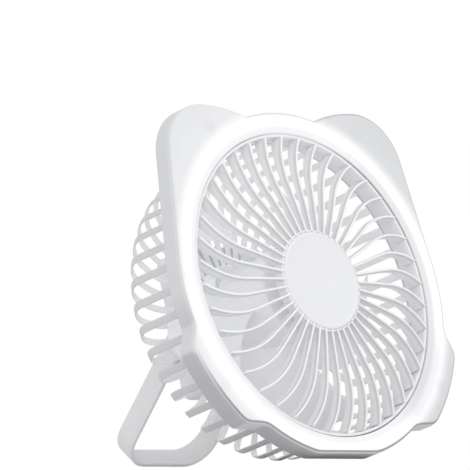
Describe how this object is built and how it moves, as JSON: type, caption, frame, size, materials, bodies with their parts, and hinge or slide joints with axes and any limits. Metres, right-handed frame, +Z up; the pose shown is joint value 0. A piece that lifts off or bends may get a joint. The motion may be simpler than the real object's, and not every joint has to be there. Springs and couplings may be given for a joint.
{
  "type": "portable fan",
  "caption": "Portable camping fan with a light ring around a domed spiral grille, a bar cage and battery box behind, and a U-shaped strap to stand or hang it by.",
  "frame": {"origin": "bottom centre of the bounding box, on the floor the fan stands on", "axes": "+X to the fan's left side as it faces forward (the viewer's right), +Y to the back, towards the strap, +Z up"},
  "size_m": [0.1976, 0.1534, 0.19],
  "materials": {
    "light_panel": "milky, satin",
    "front_frame": "satin",
    "front_grille": "satin",
    "hub_cap": "semi-gloss",
    "rear_cage": "satin",
    "box_plastic": "satin",
    "strap": "satin",
    "impeller": "satin",
    "button": "satin",
    "light_pipe": "clear",
    "circuit_board": "solder mask",
    "white_circuit_board": "solder mask",
    "led_chip": "phosphor",
    "chip": "moulded",
    "motor_plastic": "satin",
    "bearing_steel": "polished",
    "lamination": "laminated",
    "copper_wire": "enamelled",
    "cup_steel": "zinc plated",
    "magnet": "sintered",
    "shaft_steel": "ground",
    "screw_steel": "zinc plated",
    "cable": "satin",
    "battery_wrap": "shrink wrap",
    "foam": "foam",
    "socket_steel": "stamped",
    "bush_plastic": "acetal"
  },
  "bodies": {
    "housing": {"light_panel": "light_panel", "front_frame": "front_frame", "front_grille": "front_grille", "hub_cap": "hub_cap", "rear_cage": "rear_cage", "box_shell": "box_plastic", "box_cover": "box_plastic", "led_board": "white_circuit_board", "led_chips": "led_chip", "led_resistors": "chip", "led_lead": "cable", "motor_base": "motor_plastic", "motor_bearings": "bearing_steel", "stator_core": "lamination", "stator_windings": "copper_wire", "motor_board": "circuit_board", "motor_screws": "screw_steel", "motor_lead": "cable", "battery_pack": "battery_wrap", "battery_pad": "foam", "main_board": "circuit_board", "main_chips": "chip", "usb_port": "socket_steel", "button_switches": "chip", "charge_lights": "light_pipe", "stand_bushes": "bush_plastic", "cover_screws": "screw_steel", "box_screws": "screw_steel", "cage_screws": "screw_steel", "panel_screws": "screw_steel"},
    "impeller": {"impeller": "impeller", "rotor_cup": "cup_steel", "magnet_ring": "magnet", "motor_shaft": "shaft_steel", "shaft_clip": "screw_steel"},
    "stand": {"strap_stand": "strap", "stand_screws": "screw_steel"},
    "fan_button_cap": {"fan_button": "button"},
    "light_button_cap": {"light_button": "button"}
  },
  "joints": [
    {"name": "fan_spin", "type": "hinge", "parent": "housing", "child": "impeller", "pos_m": [0, -0.02471, 0.08693], "axis": [0, -0.9688, 0.2478], "continuous": true},
    {"name": "stand_pivot", "type": "hinge", "parent": "housing", "child": "stand", "pos_m": [0, 0.01453, 0.07689], "axis": [1, 0, 0], "range_deg": [-52, 127]},
    {"name": "fan_button_press", "type": "slide", "parent": "housing", "child": "fan_button_cap", "axis": [0, -0.9688, 0.2478], "range_m": [0, 0.0007], "stiffness_N_per_m": 2000, "springref_m": -0.0002},
    {"name": "light_button_press", "type": "slide", "parent": "housing", "child": "light_button_cap", "axis": [0, -0.9688, 0.2478], "range_m": [0, 0.0007], "stiffness_N_per_m": 2000, "springref_m": -0.0002}
  ]
}
